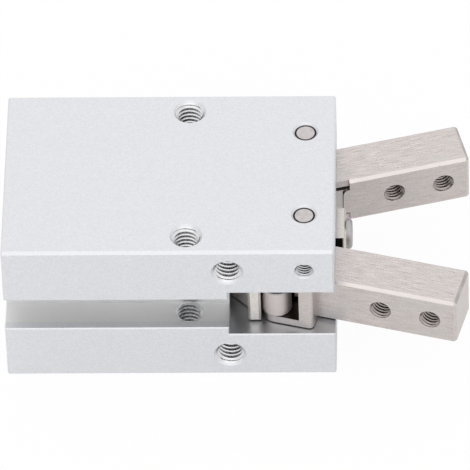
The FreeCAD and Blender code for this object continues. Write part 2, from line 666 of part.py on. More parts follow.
def build_pusher():
    """The centre pusher: rear bar behind the rollers, front bar before them, neck and nose."""
    bar_rear = f"({BAR_FRONT} - bar_thickness)"
    waist = f"(gusset_span / 2 - ({bar_rear} - {PUSHER_REAR}))"
    half = [
        (PUSHER_REAR, waist), (bar_rear, "gusset_span / 2"),
        (bar_rear, "pusher_span / 2"), (BAR_FRONT, "pusher_span / 2"),
    ]
    blank = add("PartDesign::Body", "pusher_blank")
    bar = plate(blank, "rear_bar", mirrored(half), "pusher_height")

    def on_bar_end(edge):
        box = edge.BoundBox
        return near_value(abs(box.YMin), "pusher_span / 2") and near_value(box.YMax, box.YMin)
    dress(blank, "Chamfer", "bar_ends", bar, edges_where(bar.Shape, on_bar_end), "bar_edge")

    bar_start = f"({ROLLER_X} + roller_diameter / 2 + front_bar_gap)"
    bar_end = f"({bar_start} + front_bar_thickness)"
    reach = f"({PIVOT_Y} + front_bar_reach)"
    half = [
        (bar_rear, "neck_width / 2"), (bar_start, "neck_width / 2"), (bar_start, reach),
        (bar_end, reach), (bar_end, "neck_width / 2"), (NOSE_FRONT, "neck_width / 2"),
    ]
    neck = plate(blank, "neck", mirrored(half), "neck_height")

    def on_nose(edge):
        return near_value(edge.BoundBox.XMin, NOSE_FRONT)
    dress(blank, "Chamfer", "nose_edges", neck, edges_where(neck.Shape, on_nose), "nose_edge")
    hole = rod(
        "pusher_hole", "screw_shank + 2 * fit_gap", f"{NOSE_FRONT} - {PUSHER_REAR} + 2 * cut_margin",
        f"{PUSHER_REAR} - cut_margin", axis=X_AXIS)
    finish(cut("centre_pusher", blank, [hole]), "centre_pusher")

    head_end = f"({NOSE_FRONT} + screw_head_height)"
    screw = turned("screw_blank", [
        (f"{PUSHER_REAR} - screw_bite", "0"),
        (f"{PUSHER_REAR} - screw_bite", "screw_shank / 2"),
        (NOSE_FRONT, "screw_shank / 2"),
        (NOSE_FRONT, "screw_head_diameter / 2"),
        (head_end, "screw_head_diameter / 2"),
        (head_end, "0"),
    ])
    turn = screw.Tip
    rim = edges_where(turn.Shape, lambda edge: near_value(edge.BoundBox.XMin, head_end)
                      and near_value(edge.BoundBox.XMax, head_end))
    dress(screw, "Fillet", "head_round", turn, rim, "screw_head_round")
    socket = hexagon(
        "pusher_screw_socket", "screw_socket", "screw_socket_depth + cut_margin",
        f"{head_end} - screw_socket_depth")
    finish(cut("pusher_screw", screw, [socket]), "pusher_screw")


def mirrored(half):
    """A whole outline from its half on the +Y side, listed from rear to front."""
    return half + [(x, f"-({y})") for x, y in reversed(half)]


def build_finger(side, sign):
    """One finger: a bar with two attachment threads, and behind it the clevis of its roller.

    It is drawn about its pivot, with its bar along X, and then turned to the rest angle.
    """
    outer = f"({sign} * (roller_out + clevis_radius))"
    face = f"({sign} * {FINGER_OUTER})"
    back = f"({-sign} * {FINGER_INNER})"
    inner = f"({-sign} * ({FINGER_INNER} - finger_relief))"
    end = "(-roller_back - clevis_radius)"
    rail = f"({sign} * (roller_out - clevis_rail))"
    blank = add("PartDesign::Body", f"{side}_finger_blank")
    plate(blank, f"{side}_bar", [
        (end, outer), ("tie_front", outer), ("tie_front", face), ("finger_tip", face),
        ("finger_tip", back), ("relief_end", back), ("relief_end", inner),
        ("-clevis_back", inner), (end, rail),
    ], "finger_height")

    rounds = [
        ("clevis_radius", [(end, outer)]),
        ("tie_round", [("tie_front", outer)]),
        ("clevis_round", [("-clevis_back", inner), (end, rail)]),
    ]
    for radius, corners in rounds:
        base = blank.Tip

        def upright(edge):
            box = edge.BoundBox
            spots = [near_value(box.XMin, x) and near_value(box.YMin, y) for x, y in corners]
            return any(spots) and near_value(box.ZLength, "finger_height")
        dress(blank, "Fillet", f"{side}_{radius}", base, edges_where(base.Shape, upright), radius)

    def on_bar(edge):
        box = edge.BoundBox
        level = near_value(abs(box.ZMin), "finger_height / 2") and near_value(box.ZMax, box.ZMin)
        on_side = near_value(box.YMin, face) or near_value(box.YMin, back)
        along = on_side and near_value(box.YMax, box.YMin)
        return (level and along) or near_value(box.XMin, "finger_tip")
    base = blank.Tip
    dress(blank, "Chamfer", f"{side}_bar_edges", base, edges_where(base.Shape, on_bar), "finger_edge")
    cut_clevis(blank, side, sign)

    cutters = [
        rod(f"{side}_pivot_hole", "pivot_bush_diameter", "finger_height + 2 * cut_margin",
            z="-finger_height / 2 - cut_margin"),
        rod(f"{side}_roller_hole", "roller_pin_diameter + 2 * fit_gap", "finger_height + 2 * cut_margin",
            "-roller_back", f"{sign} * roller_out", "-finger_height / 2 - cut_margin"),
    ]
    for number in range(2):
        along = f"finger_tip - finger_thread_inset - {number} * finger_thread_pitch"
        cutters += drill(
            f"{side}_thread_{number}", (along, face, "0"), -sign * Y_AXIS,
            "finger_thread", "finger_width + cut_margin", "finger_sink")
        cutters.append(sink(
            f"{side}_thread_back_{number}", (along, back, "0"), sign * Y_AXIS, "finger_sink"))
    node = f"{side}_finger"
    finger = cut(node, blank, cutters)
    finish(place(finger, PIVOT_X, f"{sign} * {PIVOT_Y}", turn=f"{sign} * open_angle"), node)


def cut_clevis(blank, side, sign):
    """The slot between the two flanges, open behind the pivot and on the inner side."""
    far_back = "(-roller_back - clevis_radius - cut_margin)"
    inside = f"({-sign} * ({FINGER_INNER} + cut_margin))"
    wall = f"({sign} * ({FINGER_OUTER} - slot_wall))"
    outside = f"({sign} * (roller_out + clevis_radius + cut_margin))"
    slot(blank, f"{side}_clevis", [
        (far_back, inside), ("slot_core", inside), ("slot_core", f"{sign} * slot_bend"),
        ("slot_end", f"{sign} * slot_bend"), ("slot_end", wall), ("tie_front - tie_web", wall),
        ("tie_back", f"{sign} * tie_inner"), ("tie_back", outside), (far_back, outside),
    ], "slot_height")
    base = blank.Tip

    def core_corner(edge):
        box = edge.BoundBox
        spot = near_value(box.XMin, "slot_core") and near_value(box.YMin, f"{sign} * slot_bend")
        return spot and near_value(box.ZLength, "slot_height")
    dress(blank, "Fillet", f"{side}_slot_round", base, edges_where(base.Shape, core_corner), "slot_round")
    add_core(blank, side, sign)


def add_core(blank, side, sign):
    """The core of the bar between the flanges, with the round end of the bar's inner face on it."""
    back = f"({-sign} * {FINGER_INNER})"
    inner = f"({-sign} * ({FINGER_INNER} - core_step))"
    outer = f"({sign} * slot_bend)"
    root = "(slot_core + cut_margin)"
    core = plate(blank, f"{side}_core", [
        ("core_start", outer), (root, outer), (root, back),
        ("tongue_start", back), ("tongue_start", inner), ("core_start", inner),
    ], "core_height")

    def on_tongue(edge):
        box = edge.BoundBox
        spot = near_value(box.XMin, "tongue_start") and near_value(box.XMax, "tongue_start")
        return spot and near_value(box.ZMax, box.ZMin)
    dress(blank, "Fillet", f"{side}_tongue_round", core, edges_where(core.Shape, on_tongue), "tongue_round")


def build_finger_hardware(side, sign):
    """Pivot bushes, pivot pins, roller and roller pin of one finger, and its set screw."""
    bush_in = "pin_diameter / 2 + run_gap"
    bush_out = "pivot_bush_diameter / 2 - fit_gap"
    bushes = []
    for level, rise in (("upper", 1), ("lower", -1)):
        start = f"{rise} * slot_height / 2"
        bushes.append(turned(f"{side}_{level}_bush", rectangle(
            bush_in, bush_out, start, f"{rise} * finger_height / 2"), "Z"))
        top = f"({rise} * ({HALF_HEIGHT} - pin_recess))"
        node = f"{side}_{level}_pin"
        pin = round_pin(node, "pin_diameter", start, top, f"{rise} * pin_edge", "pin_edge")
        finish(place(pin, PIVOT_X, f"{sign} * {PIVOT_Y}"), node)
    pair = add("Part::Compound", f"{side}_pivot_bushes")
    pair.Links = bushes
    finish(place(pair, PIVOT_X, f"{sign} * {PIVOT_Y}"), f"{side}_pivot_bushes")

    node = f"{side}_roller_pin"
    pin = round_pin(
        node, "roller_pin_diameter", "-roller_pin_length / 2", "roller_pin_length / 2",
        "roller_pin_edge", "roller_pin_edge")
    finish(place(pin, ROLLER_X, f"{sign} * {ROLLER_Y}"), node)
    node = f"{side}_roller"
    foot = "(roller_rest - slot_height / 2)"
    top = f"({foot} + roller_length)"
    finish(place(turned(node, [
        ("roller_pin_diameter / 2 + run_gap", foot),
        ("roller_diameter / 2 - roller_edge", foot),
        ("roller_diameter / 2", f"{foot} + roller_edge"),
        ("roller_diameter / 2", f"{top} - roller_edge"),
        ("roller_diameter / 2 - roller_edge", top),
        ("roller_pin_diameter / 2 + run_gap", top),
    ], "Z"), ROLLER_X, f"{sign} * {ROLLER_Y}"), node)
    build_set_screw(side, sign)


def round_pin(name, diameter, start, end, rise, edge):
    """A pin about Z with both ends chamfered, from a start height to an end height."""
    return turned(name, [
        ("0", start),
        (f"{diameter} / 2 - {edge}", start),
        (f"{diameter} / 2", f"{start} + {rise}"),
        (f"{diameter} / 2", f"{end} - {rise}"),
        (f"{diameter} / 2 - {edge}", end),
        ("0", end),
    ], "Z")


def build_set_screw(side, sign):
    """A headless screw with a hexagon socket that bears on the upper pivot pin."""
    length = f"({HALF_WIDTH} - set_screw_recess - {PIVOT_Y} - pin_diameter / 2 - fit_gap)"
    radius = "(set_screw_thread / 2 - fit_gap)"
    blank = turned(f"{side}_set_screw_blank", [
        ("0", "0"),
        ("0", radius),
        (f"{length} - set_screw_point", radius),
        (length, f"{radius} - set_screw_point"),
        (length, "0"),
    ])
    socket = hexagon(
        f"{side}_set_screw_hexagon", "set_screw_socket", "set_screw_socket_depth + cut_margin", "-cut_margin")
    node = f"{side}_set_screw"
    screw = cut(node, blank, [socket])
    spot = f"{sign} * ({HALF_WIDTH} - set_screw_recess)"
    finish(place(screw, PIVOT_X, spot, "set_screw_height", f"{-sign} * 90"), node)


def write_parts():
    """Check every object, then write one file for each sub-part."""
    doc.recompute()
    for thing in doc.Objects:
        if "Invalid" in thing.State or "Error" in thing.State:
            raise RuntimeError(f"{thing.Label} did not build")
    for thing in NODES:
        if thing.Shape.isNull() or not thing.Shape.isValid() or not thing.Shape.Solids:
            raise RuntimeError(f"{thing.Label} has no sound shape")
    os.makedirs("parts", exist_ok=True)
    for thing in NODES:
        thing.Shape.exportStep(f"parts/{thing.Label}.step")


build_body()
build_rear_closure()
build_rod_guide()
build_piston()
build_rod()
build_pusher()
for side_name, side_sign in SIDES.items():
    build_finger(side_name, side_sign)
    build_finger_hardware(side_name, side_sign)
write_parts()
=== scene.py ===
"""Looks of a pneumatic angular gripper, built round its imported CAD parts.

The CAD parts stay as they are and get their finishes here. The tapped threads are mesh pieces
that ride on the body or finger they are cut into. All lengths are in metres.
"""

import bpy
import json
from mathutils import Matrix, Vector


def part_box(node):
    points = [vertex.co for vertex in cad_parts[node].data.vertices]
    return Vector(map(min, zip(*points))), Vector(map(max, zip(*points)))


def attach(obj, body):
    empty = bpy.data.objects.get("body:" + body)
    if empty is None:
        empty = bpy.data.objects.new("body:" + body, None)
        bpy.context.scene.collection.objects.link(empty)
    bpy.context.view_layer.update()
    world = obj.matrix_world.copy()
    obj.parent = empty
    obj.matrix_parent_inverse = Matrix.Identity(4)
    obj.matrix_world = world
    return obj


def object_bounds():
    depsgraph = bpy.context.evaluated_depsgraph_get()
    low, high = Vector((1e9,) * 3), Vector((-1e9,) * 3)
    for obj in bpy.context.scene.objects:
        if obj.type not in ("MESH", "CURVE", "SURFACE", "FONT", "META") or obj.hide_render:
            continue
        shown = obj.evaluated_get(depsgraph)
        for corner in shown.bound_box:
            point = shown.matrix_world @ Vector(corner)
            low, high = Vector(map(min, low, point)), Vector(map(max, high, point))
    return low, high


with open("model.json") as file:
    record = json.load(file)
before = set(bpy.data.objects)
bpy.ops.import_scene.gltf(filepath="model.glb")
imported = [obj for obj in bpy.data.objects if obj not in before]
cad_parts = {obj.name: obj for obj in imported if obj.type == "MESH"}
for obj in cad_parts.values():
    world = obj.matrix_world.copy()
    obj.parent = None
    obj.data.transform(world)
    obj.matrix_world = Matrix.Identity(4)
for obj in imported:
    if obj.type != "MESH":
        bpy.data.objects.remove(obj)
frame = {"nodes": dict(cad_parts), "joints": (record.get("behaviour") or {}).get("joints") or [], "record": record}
CAD_BOX = [list(corner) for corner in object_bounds()]

import json
import math
from collections import namedtuple

import bmesh
import bpy
from bpy.props import FloatProperty, FloatVectorProperty, IntProperty, PointerProperty
from mathutils import Matrix, Vector

bl_info = {
    "name": "Angular gripper looks",
    "version": (1, 0, 0),
    "blender": (4, 5, 0),
    "location": "3D View > Sidebar > Gripper",
    "description": "Finishes, tapped threads and studio of a pneumatic angular gripper",
    "category": "Object",
}

MM = 0.001
IMAGE_WIDTH = 470
SENSOR_WIDTH = 36.0
# The second lamp stands this way from the gripper, above it and behind it.
BACK_LAMP = Vector((0, 0.7, 0.75))

# Metric coarse threads: pitch for each hole radius, both in millimetres.
PITCHES = {1.25: 0.45, 1.5: 0.5, 2.0: 0.7, 2.5: 0.8}
# An internal ISO thread is this share of its pitch high. Its ridge has a flat crest, and flanks
# that reach the root at these shares of a pitch from the middle of the ridge.
THREAD_HEIGHT = 0.5413
CREST_EDGE = 1 / 8
ROOT_EDGE = 7 / 16
RIDGE_STATIONS = (-ROOT_EDGE, -0.28, -CREST_EDGE, CREST_EDGE, 0.28, ROOT_EDGE)
# A tap leaves its last turns unfinished above the bottom of a blind hole.
TAP_LEAD = 1.5
# Thread edges sharper than this stay sharp, and points closer than this are one.
THREAD_CREASE = math.radians(25)
SAME_POINT = 0.0001 * MM

# Most of a noise pattern lies in this range.
NOISE_LOW, NOISE_HIGH = 0.3, 0.7
# Tool marks spread the roughness of a finish by this share of it.
GLOSS_SPREAD = 0.15
# Two patterns added together lie mostly in this range, and grains above PIT_START become pits.
SUM_LOW, SUM_HIGH = 0.25, 1.75
PIT_START, PIT_FULL = 0.95, 1.1
METAL = {"Metallic": 1}
RUBBER = {"Metallic": 0, "IOR": 1.52}
# The fingers stand open by this angle at rest.
FINGER_ANGLE = math.radians(15)
# A finish reaches this far past the face that it covers, and OUTSIDE is past the whole gripper.
FACE_EDGE = 0.02 * MM
OUTSIDE = 1.0

# A chamfer's normal has shares in this range, across each of the two faces that it joins.
CHAMFER_RISE = (0.5, 0.9)
# The upright share of the normal of a top or an underside lies in this range.
LEVEL_RISE = (0.9, 1.1)

Hole = namedtuple("Hole", "mouth inward radius depth sink far_sink blind")


def linear(code):
    """Linear RGB of an sRGB hex colour."""
    shares = [int(code[start:start + 2], 16) / 255 for start in (1, 3, 5)]
    return tuple(s / 12.92 if s <= 0.04045 else ((s + 0.055) / 1.055) ** 2.4 for s in shares)


def colour(name, code, words):
    """A colour that a user may change, given as an sRGB hex value."""
    return FloatVectorProperty(
        name=name, description=words, subtype="COLOR", size=3, min=0, max=1, default=linear(code))


def length(name, millimetres, words):
    """A length that a user may change, given in millimetres."""
    return FloatProperty(
        name=name, description=words, default=millimetres * MM, min=0, unit="LENGTH", precision=5)


class GripperSizes(bpy.types.PropertyGroup):
    """Sizes of the threads and of the marks that each finish leaves."""

    thread_segments: IntProperty(
        name="Thread segments", description="Steps in one turn of a thread", default=64, min=12)
    root_clearance: length("Root clearance", 0.03, "Thread root inside the drilled CAD wall")
    wall_overlap: length("Wall overlap", 0.01, "How far a thread sinks into its wall")
    body_sink: length("Body countersink", 0.25, "Depth of the countersinks in the body")
    lock_radius: length("Locking hole radius", 1.25, "Radius of the holes of the set screws")
    lock_sink: length("Locking countersink", 0.15, "Depth of the countersinks of the set screws")
    finger_sink: length("Finger countersink", 0.1, "Depth of the countersinks in the fingers")
    rear_depth: length("Rear hole depth", 8.0, "Depth of the bolt holes in the rear face")
    groove_height: length("Groove height", 6.1, "Inner height of the switch groove")
    groove_lip: length("Groove lip", 14.02, "Inner side of the groove's lips from the middle")
    groove_floor: length("Groove floor", 10.0, "Behind the groove's floor, from the middle")
    window_height: length("Window height", 8.05, "Height of the yoke window")
    window_rear: length("Window rear", 30.75, "Where the milled inside of the yoke begins")
    slot_height: length("Slot height", 5.4, "Height of the slot in a finger")
    slot_front: length("Slot front", 0.72, "Front wall of that slot, from the pivot")
    # Reach of the painted shade in that slot, from the pivot.
    painted_shade_reach: length("Slot reach", 6.0, "Greased depth of that slot, from the pivot")
    neck_width: length("Neck width", 5.8, "Width of the pusher's neck")
    neck_height: length("Neck height", 4.2, "Height of the pusher's neck")
    # Where the painted shade on the neck's flanks ends.
    painted_shade_front: length("Neck front", 46.25, "Where the dark flanks of the neck end")
    bead_grain: length("Bead grain", 0.22, "Spacing of the bead-blast dimples")
    brush_width: length("Brush width", 0.16, "Spacing of the grinding lines on the fingers")
    brush_length: length("Brush length", 2.2, "Length of the grinding lines on the fingers")
    cloud_width: length("Cloud width", 1.6, "Width of the cooler clouds on the fingers")
    turning_feed: length("Turning feed", 0.12, "Spacing of the rings a lathe tool leaves")
    pin_mottle: length("Pin mottle", 0.6, "Spacing of the mottle on the tumbled pin ends")
    sinter_grain: length("Sinter grain", 0.3, "Spacing of the grains of a sintered part")
    rubber_grain: length("Rubber grain", 0.2, "Spacing of the specks in moulded rubber")


class GripperColours(bpy.types.PropertyGroup):
    """Colour of each finish."""

    body: colour("Body", "#E1E2E5", "Blasted and anodised outside of the body")
    # Partly painted light: the plain milled groove floor is tinted lighter than the outside for the light it
    # catches.
    groove: colour("Groove", "#E9E9E9", "Milled floor of the switch groove")
    # Partly painted shade: the milled inside of the yoke window is darker than the outside for the shade in it.
    window: colour("Window", "#C6C9CD", "Milled and greased inside of the yoke window")
    tapped: colour("Tapped wall", "#E0E0E2", "Cut threads in the body")
    # A darker grey for the threads of the locking holes.
    lock_grey: colour("Oiled wall", "#C6C6C9", "Cut threads of the locking holes")
    finger: colour("Finger", "#D0C8C6", "Ground stainless fingers")
    finger_line: colour("Finger line", "#B3ABA8", "Grinding lines on the fingers")
    finger_cloud: colour("Finger cloud", "#CDC9C4", "Cooler clouds on the fingers")
    finger_tapped: colour("Tapped finger", "#A79F9B", "Cut threads in the fingers")
    # Painted shade: the slot behind a finger's roller is drawn dark as its shade.
    slot: colour("Finger slot", "#5A504B", "Greased slot of a finger")
    pusher: colour("Pusher", "#E2DDD7", "Sintered centre pusher")
    # Painted shade: the flanks of the pusher's neck are drawn black for the shade between neck and fingers.
    painted_flank_shade: colour("Neck flank", "#151414", "Dark flanks of the pusher's neck")
    pin: colour("Pin", "#C6C0C0", "Ground pins")
    # Painted shade on the chamfered rim of a pin, for the dark gap round it.
    painted_shade_pin_rim: colour("Pin rim", "#4E4A4B", "Oily chamfer of a pin")
    roller: colour("Roller", "#D8D0CE", "Ground rollers")
    rod: colour("Rod", "#D2D3D6", "Hard-chromed rod")
    cap: colour("Cap", "#C4C7CB", "Turned end cap")
    piston: colour("Piston", "#BFC2C6", "Turned piston")
    black: colour("Black steel", "#26262A", "Black-oxide screws")
    spring: colour("Spring steel", "#55524E", "Phosphated retaining ring")
    nut: colour("Nut", "#BDBDB8", "Zinc-plated nut")
    screw: colour("Screw", "#BEBCBB", "Tumbled screw of the pusher")
    bronze: colour("Bronze", "#B08A52", "Sintered bronze bushes")
    seal: colour("Seal", "#1C1C1D", "Seals and O-rings")
    bumper: colour("Bumper", "#2C2C2E", "Rubber bumpers")
    magnet: colour("Magnet", "#2B2827", "Rubber-bonded magnet")
    wear: colour("Wear ring", "#4A403A", "Filled plastic wear ring")
    floor: colour("Floor", "#FFFFFF", "Studio floor")


class GripperStage(bpy.types.PropertyGroup):
    """Camera and light of the studio."""

    azimuth: FloatProperty(
        name="Azimuth", description="Camera turn round the gripper", subtype="ANGLE",
        default=math.radians(2.6315))
    elevation: FloatProperty(
        name="Elevation", description="Camera height above the horizon", subtype="ANGLE",
        default=math.radians(45.3817))
    roll: FloatProperty(
        name="Roll", description="Camera turn about its own axis", subtype="ANGLE",
        default=math.radians(-2.1562))
    distance: FloatProperty(
        name="Distance", description="Camera to the point it looks at", default=1.240,
        unit="LENGTH")
    aim: FloatVectorProperty(
        name="Aim", description="Point the camera looks at", subtype="TRANSLATION",
        unit="LENGTH", default=(0.0313295, -0.0001344, 0))
    focal_pixels: FloatProperty(
        name="Focal length in pixels", description="Focal length over the size of a pixel",
        default=8989)
    floor_width: FloatProperty(
        name="Floor width", description="Side of the floor", default=3.0, unit="LENGTH")
    floor_gap: length("Floor gap", 0.02, "Floor to the underside of the gripper")
    floor_glow: FloatProperty(
        name="Floor white", description="Share of plain white in the floor that is seen",
        subtype="FACTOR", default=0.94, min=0, max=1)
    floor_reflected: FloatProperty(
        name="Reflected white", description="How much of that white metal shows",
        subtype="FACTOR", default=0.2, min=0, max=1)
    sky: FloatProperty(
        name="Sky", description="Strength of the light from all round", default=0.9, min=0)
    key_power: FloatProperty(
        name="Key lamp", description="Softbox round the camera", unit="POWER", default=0.9)
    key_size: FloatProperty(
        name="Key size", description="Side of the softbox round the camera", unit="LENGTH",
        default=1.0)
    back_power: FloatProperty(
        name="Back lamp", description="Softbox above and behind the gripper", unit="POWER",
        default=0.08)
    back_size: FloatProperty(
        name="Back size", description="Side of the softbox behind the gripper", unit="LENGTH",
        default=0.5)
    lamp_distance: FloatProperty(
        name="Lamp distance", description="Softbox to the gripper", unit="LENGTH", default=0.7)


def add(tree, kind, inputs=None, output=None, **settings):
    """Adds a node with its settings, sets or links its inputs, and returns one of its outputs."""
    node = tree.nodes.new(kind)
    for name, value in settings.items():
        setattr(node, name, value)
    for name, value in (inputs or {}).items():
        socket = next(s for s in node.inputs if s.identifier == name)
        if isinstance(value, bpy.types.NodeSocket):
            tree.links.new(value, socket)
        else:
            socket.default_value = value
    return next((s for s in node.outputs if output in (None, s.identifier)), None)


def rgba(rgb):
    """A colour as a node socket takes it."""
    return (*rgb, 1)


def new_material(name):
    """An empty node material."""
    material = bpy.data.materials.new(name)
    material.use_nodes = True
    material.node_tree.nodes.clear()
    return material, material.node_tree


def close_material(tree, **inputs):
    """The shader and the output of a material."""
    sockets = {name.replace("_", " "): value for name, value in inputs.items()}
    shader = add(tree, "ShaderNodeBsdfPrincipled", sockets)
    add(tree, "ShaderNodeOutputMaterial", {"Surface": shader})


def mirrored(tree, kind):
    """An object's place or normal, turned to the positive side of each axis."""
    value = add(tree, "ShaderNodeTexCoord", output=kind)
    return add(tree, "ShaderNodeVectorMath", {"Vector": value}, operation="ABSOLUTE")


def marks(tree, lay, spacing, stretch=1):
    """Tool marks or grain, mostly between 0 and 1, laid the way the surface was worked."""
    if lay == "finger":
        # The fingers mirror each other, so one rotation serves both.
        place = add(tree, "ShaderNodeMapping",
                    {"Vector": mirrored(tree, "Object"), "Rotation": (0, 0, FINGER_ANGLE),
                     "Scale": (stretch, 1, 1)}, vector_type="TEXTURE")
    else:
        place = add(tree, "ShaderNodeTexCoord", output="Object")
    if lay == "turned":
        # A lathe leaves rings round the bore axis.
        apart = add(tree, "ShaderNodeSeparateXYZ", {"Vector": place}, "X").node.outputs
        across = add(tree, "ShaderNodeCombineXYZ", {"Y": apart["Y"], "Z": apart["Z"]})
        radius = add(tree, "ShaderNodeVectorMath", {"Vector": across}, "Value", operation="LENGTH")
        place = add(tree, "ShaderNodeCombineXYZ", {"X": apart["X"], "Y": radius})
    elif lay == "round":
        # Rings round an upright pin or roller.
        place = add(tree, "ShaderNodeMapping",
                    {"Vector": place, "Scale": (1 / stretch, 1 / stretch, 1)})
    noise = add(tree, "ShaderNodeTexNoise",
                {"Vector": place, "Scale": 1 / spacing, "Detail": 3, "Roughness": 0.6}, "Fac")
    return add(tree, "ShaderNodeMapRange",
               {"Value": noise, "From Min": NOISE_LOW, "From Max": NOISE_HIGH}, "Result",
               clamp=False)


def within(tree, place, **ranges):
    """1 where a place lies inside ranges of X, Y and Z, and 0 elsewhere."""
    apart = add(tree, "ShaderNodeSeparateXYZ", {"Vector": place}, "X").node.outputs
    share = 1
    for axis, (low, high) in ranges.items():
        inside = add(tree, "ShaderNodeMath",
                     {"Value": apart[axis], "Value_001": (low + high) / 2,
                      "Value_002": (high - low) / 2}, operation="COMPARE")
        share = add(tree, "ShaderNodeMath", {"Value": inside, "Value_001": share},
                    operation="MULTIPLY")
    return share


def shaded(rgb, factor):
    """A darker or lighter tone of a colour, as a node socket takes it."""
    return rgba(min(channel * factor, 1) for channel in rgb)


def patched(tree, tint, *patches):
    """A colour with other colours in some places, each given with the share it has there."""
    for share, other in patches:
        tint = add(tree, "ShaderNodeMix",
                   {"Factor_Float": share, "A_Color": tint, "B_Color": other}, "Result_Color",
                   data_type="RGBA")
    return tint


def worked(name, rgb, lay, spacing, rough, stretch=1, tone=0.12, relief=0.0, patch=None, **sockets):
    """A finish whose tone, gloss and relief follow its tool marks or grain.

    A patch gives ranges of an object's place or normal, mirrored to the positive side, and the
    colour there.
    """
    material, tree = new_material(name)
    pattern = marks(tree, lay, spacing, stretch)
    tint = patched(tree, shaded(rgb, 1 - tone), (pattern, shaded(rgb, 1 + tone)))
    if patch:
        kind, ranges, other = patch
        tint = patched(tree, tint, (within(tree, mirrored(tree, kind), **ranges), rgba(other)))
    gloss = add(tree, "ShaderNodeMapRange",
                {"Value": pattern, "To Min": rough * (1 - GLOSS_SPREAD),
                 "To Max": rough * (1 + GLOSS_SPREAD)}, "Result")
    bump = add(tree, "ShaderNodeBump", {"Height": pattern, "Strength": 1, "Distance": relief})
    close_material(tree, Base_Color=tint, Roughness=gloss, Normal=bump, **(sockets or METAL))
    return material


def body_aluminium(sizes, colours):
    """Aluminium body: blasted and clear anodised outside, milled in the window, with painted shade there."""
    # Beads leave a pale, silky and even grey with a very fine grain. Real dimples are near
    # 0.05 mm, and are drawn coarser so that they show. The milled window is smoother, and its darker
    # tint is painted shade. The cutter leaves the floor of the switch groove plain, and its lighter
    # tint is painted light.
    material, tree = new_material("anodised aluminium, bead-blasted")
    pattern = marks(tree, "even", sizes.bead_grain)
    place = add(tree, "ShaderNodeTexCoord", output="Object")
    half = sizes.window_height / 2 + FACE_EDGE
    window = within(tree, place, X=(sizes.window_rear, OUTSIDE), Z=(-half, half))
    # The groove floor's lighter tint is painted light.
    half = sizes.groove_height / 2 + FACE_EDGE
    groove = within(tree, place, Y=(-sizes.groove_lip, -sizes.groove_floor), Z=(-half, half))
    # The window's darker tint is painted shade.
    tint = patched(tree, shaded(colours.body, 0.93), (pattern, shaded(colours.body, 1.07)),
                   (groove, rgba(colours.groove)), (window, rgba(colours.window)))
    blasted = add(tree, "ShaderNodeMapRange",
                  {"Value": pattern, "To Min": 0.46, "To Max": 0.56}, "Result")
    gloss = add(tree, "ShaderNodeMapRange",
                {"Value": window, "To Min": blasted, "To Max": 0.38}, "Result")
    depth = add(tree, "ShaderNodeMapRange",
                {"Value": window, "To Min": 1, "To Max": 0.1}, "Result")
    bump = add(tree, "ShaderNodeBump",
               {"Height": pattern, "Strength": depth, "Distance": 0.0024 * MM})
    close_material(tree, Base_Color=tint, Roughness=gloss, Normal=bump, **METAL)
    return material


def finger_stainless(sizes, colours):
    """Stainless fingers: milled, then ground lengthwise."""
    # Grinding leaves fine straight lines from end to end on a warm grey, with cooler clouds and a
    # few small pits. The lines are strongest on the top and underside. The long chamfers carry a
    # painted highlight and those of the tip a painted shade. The slot behind the roller is painted
    # dark as its shade.
    material, tree = new_material("stainless steel, ground lengthwise")
    lines = marks(tree, "finger", sizes.brush_width, sizes.brush_length / sizes.brush_width)
    fine = marks(tree, "even", sizes.brush_width)
    both = add(tree, "ShaderNodeMath", {"Value": lines, "Value_001": fine}, operation="ADD")
    tone = add(tree, "ShaderNodeMapRange",
               {"Value": both, "From Min": SUM_LOW, "From Max": SUM_HIGH}, "Result")
    clouds = add(tree, "ShaderNodeMapRange",
                 {"Value": marks(tree, "finger", sizes.cloud_width, stretch=2), "To Min": 0,
                  "To Max": 0.6}, "Result")
    pits = add(tree, "ShaderNodeMapRange",
               {"Value": marks(tree, "even", sizes.sinter_grain), "From Min": PIT_START,
                "From Max": PIT_FULL, "To Min": 0, "To Max": 0.7}, "Result")
    pivot = Vector(next(j for j in frame["joints"] if j["name"] == "far_finger_pivot")["pos_m"])
    local = add(tree, "ShaderNodeMapping",
                {"Vector": mirrored(tree, "Object"), "Location": pivot,
                 "Rotation": (0, 0, FINGER_ANGLE)}, vector_type="TEXTURE")
    # Mask of the painted shade in the slot behind the roller.
    half = sizes.slot_height / 2 + FACE_EDGE
    slot = within(tree, local, X=(-OUTSIDE, sizes.slot_front), Y=(-OUTSIDE, sizes.painted_shade_reach),
                  Z=(-half, half))
    facing = mirrored(tree, "Normal")
    # Masks of the painted highlight on the long chamfers and the painted shade on the tip chamfers.
    painted_highlight_chamfers = within(tree, facing, Y=CHAMFER_RISE, Z=CHAMFER_RISE)
    painted_shade_tip_chamfers = within(tree, facing, X=CHAMFER_RISE, Z=CHAMFER_RISE)
    level = within(tree, facing, Z=LEVEL_RISE)
    dark = patched(tree, rgba(colours.finger_line), (level, shaded(colours.finger_line, 0.78)))
    light = patched(tree, shaded(colours.finger, 1.2), (level, shaded(colours.finger, 1.38)))
    # The long chamfers get a painted highlight, the tip chamfers and the slot a painted shade.
    tint = patched(tree, dark, (tone, light),
                   (painted_highlight_chamfers, shaded(colours.finger, 1.16)),
                   (painted_shade_tip_chamfers, shaded(colours.finger, 0.65)),
                   (clouds, rgba(colours.finger_cloud)), (pits, shaded(colours.finger_line, 0.4)),
                   (slot, rgba(colours.slot)))
    gloss = add(tree, "ShaderNodeMapRange",
                {"Value": lines, "To Min": 0.3, "To Max": 0.4}, "Result")
    bump = add(tree, "ShaderNodeBump", {"Height": lines, "Strength": 1, "Distance": 0.002 * MM})
    close_material(tree, Base_Color=tint, Roughness=gloss, Normal=bump, **METAL)
    return material


def dress(nodes, material):
    """Puts a finish on CAD parts."""
    for name in nodes:
        part = frame["nodes"][name]
        part.data.materials.clear()
        part.data.materials.append(material)


